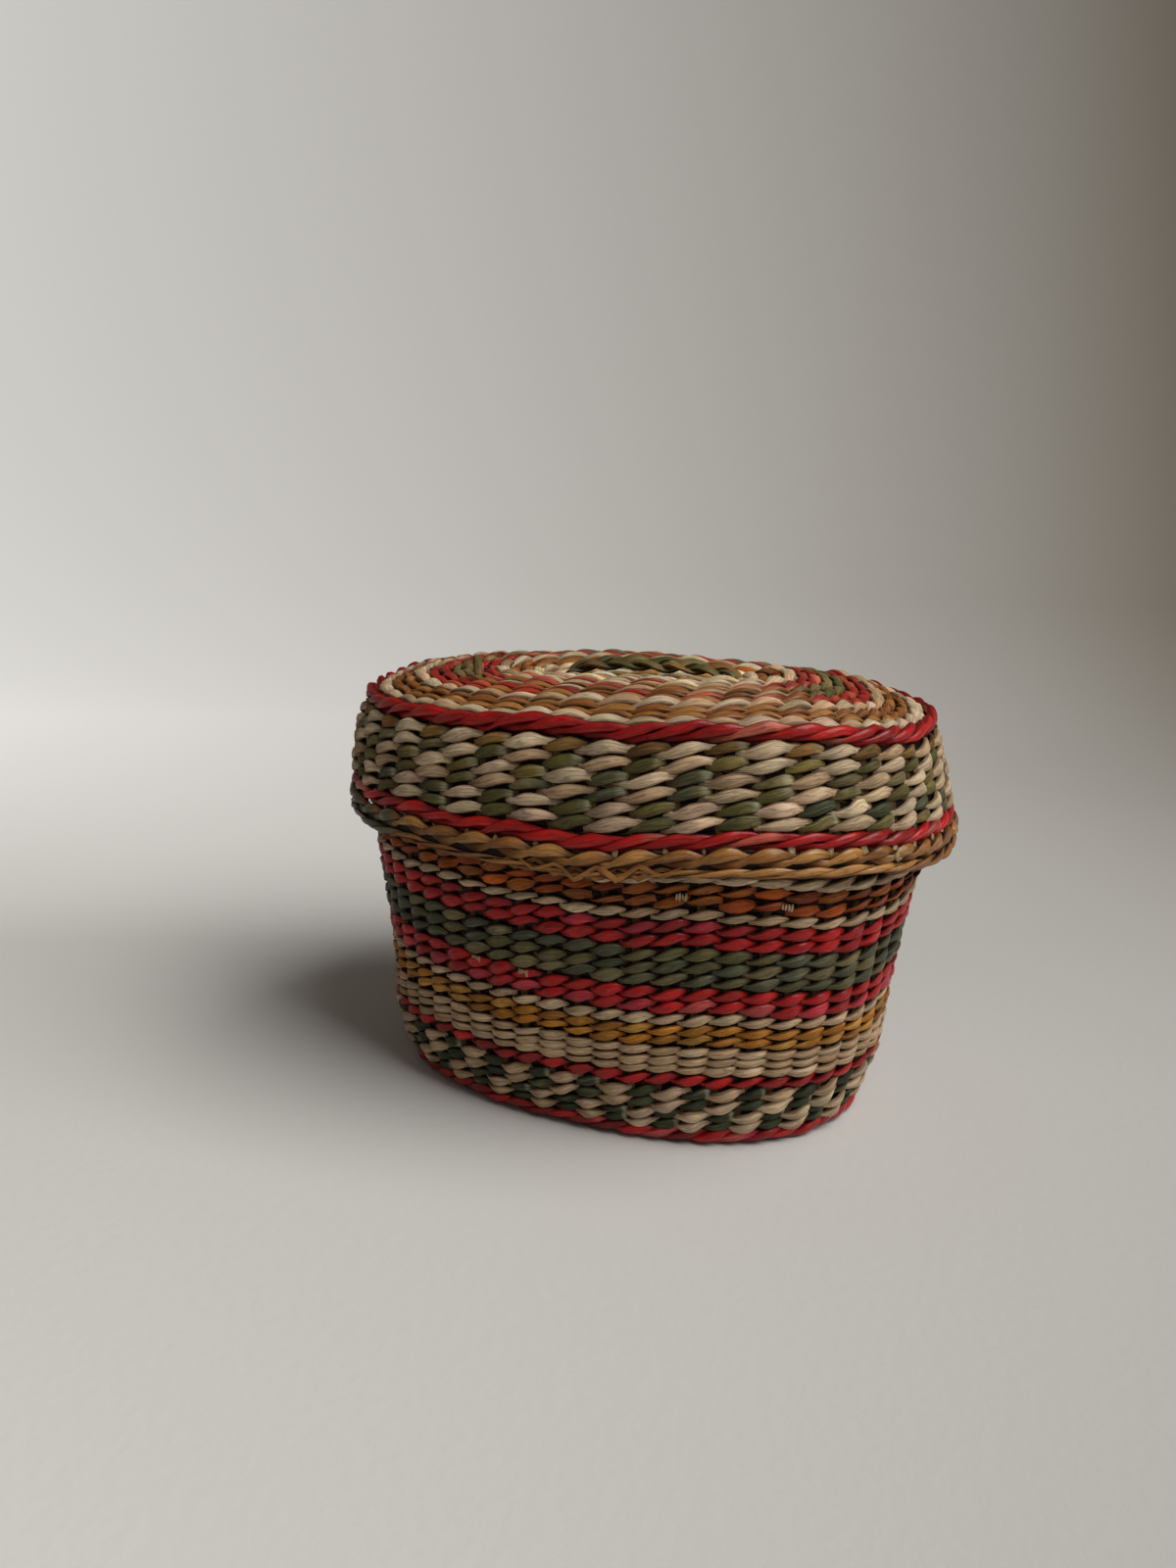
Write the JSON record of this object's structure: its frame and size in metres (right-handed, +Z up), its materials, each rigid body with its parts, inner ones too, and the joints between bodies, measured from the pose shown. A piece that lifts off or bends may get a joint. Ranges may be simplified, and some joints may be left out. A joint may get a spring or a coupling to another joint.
{
  "type": "lidded oval twined basket",
  "caption": "Small oval basket of dyed plant fibre twined in coloured bands, with a lid that lifts straight off by a low braided handle.",
  "frame": {"origin": "middle of the flat foot, on the surface that the basket stands on", "axes": "+X along the oval's long axis, +Y across it, +Z up through the lid"},
  "size_m": [0.1204, 0.0912, 0.0859],
  "materials": {
    "natural_fibre": "satin plant fibre, undyed, twined",
    "checker_fibre": "undyed and dark green fibre, twined in turn",
    "red_fibre": "satin plant fibre, dyed red",
    "ochre_fibre": "satin plant fibre, dyed ochre yellow",
    "olive_fibre": "satin plant fibre, dyed olive green",
    "orange_fibre": "satin plant fibre, dyed orange brown",
    "brown_fibre": "satin plant fibre, brown",
    "gold_straw": "glossy gold straw, folded",
    "cream_fibre": "matte cream fibre, slightly fluffy",
    "stake_fibre": "flat undyed warp stake"
  },
  "bodies": {
    "basket_body": {"base_core": "natural_fibre", "base_inner_rows": "natural_fibre", "base_red_ring": "red_fibre", "base_outer_rows": "natural_fibre", "foot_rope": "red_fibre", "body_checker_rows": "checker_fibre", "body_red_line": "red_fibre", "body_thin_natural_rows": "natural_fibre", "body_ochre_rows": "ochre_fibre", "body_natural_row_low": "natural_fibre", "body_red_rows_low": "red_fibre", "body_olive_rows": "olive_fibre", "body_red_rows_high": "red_fibre", "body_natural_row_high": "natural_fibre", "body_orange_rows": "orange_fibre", "body_natural_row_top": "natural_fibre", "body_neck_rows": "natural_fibre", "body_rim_border": "natural_fibre", "body_stakes": "stake_fibre"},
    "lid": {"lid_border_fold": "gold_straw", "lid_border_twist": "gold_straw", "lid_rope_low": "red_fibre", "lid_checker_rows": "checker_fibre", "lid_rope_edge": "red_fibre", "lid_natural_row_edge": "natural_fibre", "lid_brown_rows": "brown_fibre", "lid_natural_row_outer": "natural_fibre", "lid_red_rows_outer": "red_fibre", "lid_olive_rows": "olive_fibre", "lid_red_rows_inner": "red_fibre", "lid_natural_row_middle": "natural_fibre", "lid_orange_rows": "orange_fibre", "lid_natural_row_inner": "natural_fibre", "lid_gold_rows": "gold_straw", "lid_core": "cream_fibre", "lid_stakes": "stake_fibre", "handle_strand_1": "olive_fibre", "handle_strand_2": "olive_fibre", "handle_strand_3": "olive_fibre"}
  },
  "joints": [
    {"name": "lid_lift", "type": "slide", "parent": "basket_body", "child": "lid", "axis": [0, 0, 1], "range_m": [0, 0.04]}
  ]
}
